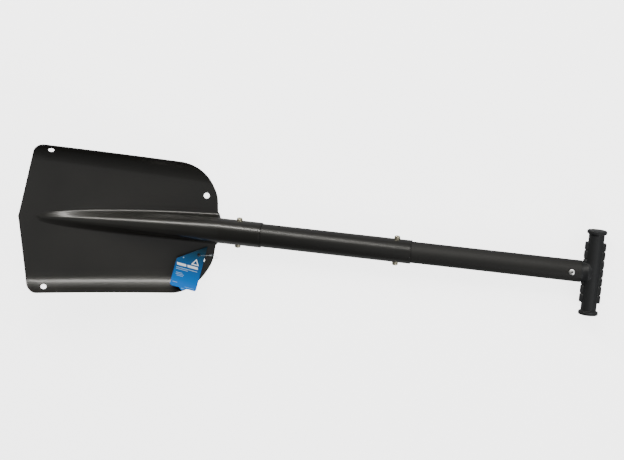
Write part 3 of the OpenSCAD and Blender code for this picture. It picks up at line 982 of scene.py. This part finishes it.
def tube_coat(name, rough):
    """Black anodised tube, with fine lines drawn along it."""
    s = Shader(name, IOR=1.5)
    drawn = s.noise(1800, 3, (40, 1, 1))
    clouds = s.noise(22, 2)
    s.set(
        Base_Color=s.mix(clouds, (0.0095, 0.0093, 0.0083), (0.0135, 0.013, 0.012)),
        Roughness=s.span(drawn, 0.3, 0.7, rough, rough + 0.08),
        Normal=s.bump(drawn, 0.00001, 0.35),
    )
    return s.material


def handle_plastic():
    """Moulded nylon with a fine spark-eroded grain."""
    s = Shader("handle_plastic", IOR=1.46)
    grain = s.noise(2200, 2)
    clouds = s.noise(60, 2)
    s.set(
        Base_Color=s.mix(clouds, (0.0105, 0.0115, 0.0122), (0.0150, 0.0162, 0.0175)),
        Roughness=s.span(grain, 0.3, 0.7, 0.46, 0.6),
        Normal=s.bump(grain, 0.00004, 0.35),
    )
    return s.material


def metal(name, light, dark, rough, scale):
    """Bare or plated metal with uneven tone and fine marks."""
    s = Shader(name, Metallic=1.0)
    tone = s.noise(scale, 3)
    marks = s.noise(scale * 6, 2, (6, 1, 1))
    s.set(
        Base_Color=s.mix(tone, dark, light),
        Roughness=s.span(marks, 0.3, 0.7, rough, rough + 0.14),
        Normal=s.bump(marks, 0.00001, 0.3),
    )
    return s.material


def nylon():
    """Clear nylon, a little milky."""
    s = Shader("nylon", IOR=1.4, Transmission_Weight=0.9)
    cloud = s.noise(900, 2)
    s.set(
        Base_Color=s.mix(cloud, (0.72, 0.78, 0.80), (0.86, 0.90, 0.92)),
        Roughness=s.span(cloud, 0.3, 0.7, 0.16, 0.3),
    )
    return s.material


def card_print():
    """Satin printed card: a blue fade with plain bars and a plain tent mark, no lettering."""
    s = Shader("tag_card", IOR=1.5, Specular_IOR_Level=0.25)
    split = s.tree.nodes.new("ShaderNodeSeparateXYZ")
    s.put(split.inputs[0], s.uv)
    x = s.math("MULTIPLY", split.outputs["X"], TAG_L)
    y = s.math("MULTIPLY", split.outputs["Y"], TAG_W)

    def within(value, centre, half):
        soft = 0.12
        off = s.math("ABSOLUTE", s.math("SUBTRACT", value, centre))
        return s.span(off, half - soft, half + soft, 1.0, 0.0)

    def bar(cx, cy, length, height, lean=0.0):
        """A bar across the card: length along the card's width, height along its length."""
        slanted = s.math("SUBTRACT", y, s.math("MULTIPLY", s.math("SUBTRACT", x, cx), lean))
        return s.math("MULTIPLY", within(x, cx, height / 2), within(slanted, cy, length / 2))

    def tent(cx, cy, size):
        """A triangle outline with its foot down the card."""
        top = cx - size / 2
        width = s.math("MULTIPLY", s.math("SUBTRACT", x, top), 0.62)
        off = s.math("ABSOLUTE", s.math("SUBTRACT", y, cy))
        inside = s.span(s.math("SUBTRACT", width, off), -0.1, 0.15)
        foot = s.span(x, cx + size / 2 - 0.1, cx + size / 2 + 0.1, 1.0, 0.0)
        shape = s.math("MULTIPLY", inside, foot)
        hollow = s.span(s.math("SUBTRACT", width, off), 1.35, 1.6)
        above = s.span(x, cx + size / 2 - 1.5, cx + size / 2 - 1.3, 1.0, 0.0)
        return s.math("SUBTRACT", shape, s.math("MULTIPLY", hollow, above), clamp=True)

    title = s.math("MAXIMUM", bar(33.6, 28.6, 13, 3.4, -0.3), bar(33.6, 12.8, 15, 3.4, -0.3))
    mark = tent(25.5, 10.5, 9)
    marks = s.math("MAXIMUM", title, mark)
    lines = bar(38.4, 20, 30, 0.9)
    for cx, cy, length, height in (
        (40.6, 26.5, 17, 0.8), (45.4, 29, 9, 0.7), (47.4, 27.6, 12, 0.7),
        (49.4, 27, 9, 0.7), (59, 31.5, 7, 0.7), (23.6, 28.6, 1.6, 1.6),
    ):
        lines = s.math("MAXIMUM", lines, bar(cx, cy, length, height))
    edge = s.math("MAXIMUM", bar(62.6, 10, 13, 0.8), bar(65.6, 18.8, 4, 1.1))
    fade = s.span(x, 8, 60)
    fade = s.math("POWER", fade, 1.5)
    base = s.mix(fade, (0.004, 0.042, 0.075), (0.001, 0.175, 0.66))
    base = s.mix(s.math("MULTIPLY", lines, 0.62), base, (0.50, 0.72, 0.86))
    base = s.mix(s.math("MULTIPLY", edge, 0.45), base, (0.42, 0.72, 0.94))
    grain = s.noise(1500, 2)
    s.set(
        Base_Color=s.mix(marks, base, (0.86, 0.90, 0.92)),
        Roughness=s.span(grain, 0.3, 0.7, 0.30, 0.40),
        Normal=s.bump(grain, 0.00001, 0.3),
    )
    return s.material


def floor_paper(glow):
    """White paper on a light table."""
    s = Shader(
        "floor_paper", Roughness=0.9, Specular_IOR_Level=0.1,
        Emission_Color=(1.0, 1.0, 1.0), Emission_Strength=glow,
    )
    s.set(Base_Color=s.mix(s.noise(3, 2), (0.93, 0.93, 0.93), (0.95, 0.95, 0.95)))
    return s.material


def finish_piece(obj, material, body, node):
    """Gives a piece its material, hangs it on the named body, and hides the CAD part that it
    replaces; a piece given no body hangs on none."""
    obj.data.materials.clear()
    obj.data.materials.append(material)
    if body:
        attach(obj, body)
    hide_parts(node)


# ---- The scene ----

add_camera()

loop, loop_line, loop_length = make_loop()
lock = make_lock()
card = make_card()
clear = nylon()
finish_piece(loop, clear, "tag", "tag_loop")
finish_piece(lock, clear, "tag", "tag_lock")
finish_piece(card, card_print(), "tag", "hang_tag")

finish_piece(make_blade(), blade_coat(), "blade", "blade")

satin = tube_coat("tube_coat", rough=0.34)
dull_satin = tube_coat("tube_coat_dull", rough=0.604)
finish_piece(make_middle_tube(), satin, "lower_shaft", "middle_tube")
finish_piece(make_upper_tube(), dull_satin, "upper_shaft", "upper_tube")

plating = metal("button_plating", (0.80, 0.76, 0.60), (0.55, 0.50, 0.34), 0.2, 300)
steel = metal("spring_steel", (0.50, 0.49, 0.45), (0.36, 0.35, 0.33), 0.34, 200)
for level, way, x, bore_r in (
    ("lower", -1, -LOWER_BUTTON_X, MIDDLE_BORE_R),
    ("upper", 1, UPPER_HOLE_X, UPPER_BORE_R),
):
    for hand, side in (("right", 1), ("left", -1)):
        node = f"{level}_button_{hand}"
        low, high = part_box(node)
        tip = max(abs(low.y), abs(high.y)) / MM
        button = make_button(f"{node}_cap", x, side, bore_r, tip)
        finish_piece(button, plating, node, node)
        leaf, bend_x = make_spring(f"{level}_leaf_{hand}", x, bore_r, way, side)
        finish_piece(leaf, steel, None, f"{level}_spring")
        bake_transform(leaf)

finish_piece(make_handle(), handle_plastic(), "upper_shaft", "t_handle")
bright = metal("rivet_metal", (0.93, 0.93, 0.91), (0.80, 0.80, 0.78), 0.36, 500)
# The mandrels' steel is near black: painted shade that stands in for the shade inside the rivets'
# holes
mandrel_painted_shade = metal("mandrel_steel", (0.12, 0.12, 0.115), (0.06, 0.06, 0.058), 0.45, 700)
for face, side in (("front", 1), ("back", -1)):
    rivet = make_rivet(f"rivet_{face}_head", side)
    finish_piece(rivet, bright, "upper_shaft", f"rivet_{face}")
    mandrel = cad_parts[f"mandrel_{face}"]
    mandrel.data.materials.clear()
    mandrel.data.materials.append(mandrel_painted_shade)

# The floor glows like a light table, but the black coats neither mirror it nor catch its light
FLOOR_HALF = 6
FLOOR_GLOW = 3.4
corners = [(-FLOOR_HALF, -FLOOR_HALF, 0), (FLOOR_HALF, -FLOOR_HALF, 0)]
corners += [(FLOOR_HALF, FLOOR_HALF, 0), (-FLOOR_HALF, FLOOR_HALF, 0)]
floor_mesh = bpy.data.meshes.new("floor")
floor_mesh.from_pydata(corners, [], [(0, 1, 2, 3)])
floor = add_object("floor", floor_mesh)
floor.data.materials.append(floor_paper(FLOOR_GLOW))
floor.visible_glossy = False
floor.visible_diffuse = False

# A long strip gives the tubes their streak; the others are broad and soft
add_world(seen=4, above=0.13, below=0.5)
add_light(
    "key", at=(-0.55, 1.44, 1.09), target=(0, 0, 0.02), size=(2.3, 0.16), power=36,
    colour=(1, 0.975, 0.92),
)
add_light("top", at=(1.0, -0.3, 2.1), target=(0, 0, 0), size=(2.6, 2.2), power=6)
for hand, y in (("right", 2.4), ("left", -2.4)):
    add_light(f"fill_{hand}", at=(2.4, y, 1.9), target=(0, 0, 0), size=(1.6, 1.6), power=50)
